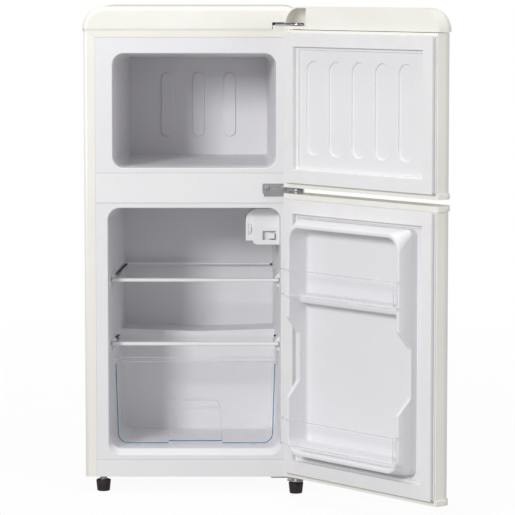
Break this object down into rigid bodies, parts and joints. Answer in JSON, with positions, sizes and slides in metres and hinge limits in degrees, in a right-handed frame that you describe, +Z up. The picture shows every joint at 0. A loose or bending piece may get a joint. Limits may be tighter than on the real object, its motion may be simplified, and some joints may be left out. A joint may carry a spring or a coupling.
{
  "type": "mini fridge",
  "caption": "Retro two-door mini fridge standing open: cream steel cabinet with round-shouldered caps, freezer over fridge, clear door racks, glass shelves and a crisper drawer.",
  "frame": {"origin": "middle of the cabinet's footprint on the floor", "axes": "+Z up, -Y out of the front, +X to the right as seen from the front; the doors are hinged on the +X side and stored 130 degrees open"},
  "size_m": [0.6954, 0.7911, 0.9535],
  "materials": {
    "cream_enamel": "satin",
    "cream_plastic": "satin",
    "white_liner": "satin",
    "white_trim": "gloss",
    "white_seal": "matte",
    "foam": "matte",
    "galvanised_steel": "satin",
    "zinc_steel": "satin",
    "chrome": "polished",
    "black_enamel": "satin",
    "black_plastic": "matte",
    "dark_rubber": "matte",
    "copper": "satin",
    "aluminium": "satin",
    "clear_plastic": "gloss",
    "clear_glass": "polished",
    "frosted_lens": "satin",
    "nylon": "satin"
  },
  "bodies": {
    "cabinet": {"cabinet_shell": "cream_enamel", "top_cap": "cream_plastic", "rear_panel": "galvanised_steel", "freezer_liner": "white_liner", "fridge_liner": "white_liner", "center_mullion": "white_trim", "bottom_rail": "white_trim", "cabinet_insulation": "foam", "base_panel": "galvanised_steel", "machine_bay_panel": "galvanised_steel", "compressor_base": "galvanised_steel", "compressor": "black_enamel", "compressor_grommets": "dark_rubber", "compressor_bolts": "zinc_steel", "start_relay_box": "black_plastic", "filter_drier": "copper", "discharge_pipe": "copper", "suction_pipe": "copper", "evaporator_coil": "aluminium", "drip_tray": "black_plastic", "drain_tube": "white_trim", "power_inlet_gland": "black_plastic", "thermostat_housing": "white_trim", "lamp_lens": "frosted_lens", "lamp_bulb": "clear_glass", "top_hinge_plate": "zinc_steel", "middle_hinge_bracket": "zinc_steel", "middle_hinge_washers": "zinc_steel", "bottom_hinge_bracket": "zinc_steel", "hinge_screws": "zinc_steel", "rear_feet": "black_plastic"},
    "freezer_door": {"freezer_door_skin": "cream_enamel", "freezer_door_top_cap": "cream_plastic", "freezer_door_bottom_cap": "cream_plastic", "freezer_door_liner": "white_liner", "freezer_door_gasket": "white_seal", "freezer_door_insulation": "foam", "freezer_door_bushes": "nylon", "freezer_door_handle": "chrome"},
    "fridge_door": {"fridge_door_skin": "cream_enamel", "fridge_door_top_cap": "cream_plastic", "fridge_door_bottom_cap": "cream_plastic", "fridge_door_liner": "white_liner", "fridge_door_gasket": "white_seal", "fridge_door_insulation": "foam", "fridge_door_bushes": "nylon", "fridge_door_handle": "chrome"},
    "upper_rack": {"upper_door_rack": "clear_plastic"},
    "lower_rack": {"lower_door_rack": "clear_plastic"},
    "middle_shelf": {"glass_shelf": "clear_glass", "glass_shelf_trim": "white_trim"},
    "drawer_cover": {"crisper_cover": "clear_glass", "crisper_cover_trim": "white_trim"},
    "drawer": {"crisper_drawer": "clear_plastic"},
    "dial": {"thermostat_dial": "white_trim"},
    "light_switch": {"door_light_switch": "white_trim"},
    "left_foot": {"left_foot_pad": "black_plastic", "left_foot_stud": "zinc_steel"},
    "right_foot": {"right_foot_pad": "black_plastic", "right_foot_stud": "zinc_steel"}
  },
  "joints": [
    {"name": "freezer_door_swing", "type": "hinge", "parent": "cabinet", "child": "freezer_door", "pos_m": [0.2, -0.242, 0.76], "axis": [0, 0, 1], "range_deg": [-130, 10]},
    {"name": "fridge_door_swing", "type": "hinge", "parent": "cabinet", "child": "fridge_door", "pos_m": [0.2, -0.242, 0.31], "axis": [0, 0, 1], "range_deg": [-130, 10]},
    {"name": "upper_rack_lift", "type": "slide", "parent": "fridge_door", "child": "upper_rack", "axis": [0, 0, 1], "range_m": [0, 0.06]},
    {"name": "lower_rack_lift", "type": "slide", "parent": "fridge_door", "child": "lower_rack", "axis": [0, 0, 1], "range_m": [0, 0.06]},
    {"name": "glass_shelf_slide", "type": "slide", "parent": "cabinet", "child": "middle_shelf", "axis": [0, -1, 0], "range_m": [0, 0.28]},
    {"name": "crisper_cover_slide", "type": "slide", "parent": "cabinet", "child": "drawer_cover", "axis": [0, -1, 0], "range_m": [0, 0.12]},
    {"name": "crisper_drawer_slide", "type": "slide", "parent": "cabinet", "child": "drawer", "axis": [0, -1, 0], "range_m": [0, 0.2]},
    {"name": "thermostat_dial_turn", "type": "hinge", "parent": "cabinet", "child": "dial", "pos_m": [0.108, -0.149, 0.515], "axis": [1, 0, 0], "range_deg": [0, 270]},
    {"name": "light_switch_press", "type": "slide", "parent": "cabinet", "child": "light_switch", "axis": [0, -1, 0], "range_m": [-0.004, 0], "stiffness_N_per_m": 400, "springref_m": 0.001},
    {"name": "left_foot_turn", "type": "hinge", "parent": "cabinet", "child": "left_foot", "pos_m": [-0.181, -0.195, 0], "axis": [0, 0, 1], "continuous": true},
    {"name": "right_foot_turn", "type": "hinge", "parent": "cabinet", "child": "right_foot", "pos_m": [0.199, -0.222, 0], "axis": [0, 0, 1], "continuous": true}
  ]
}
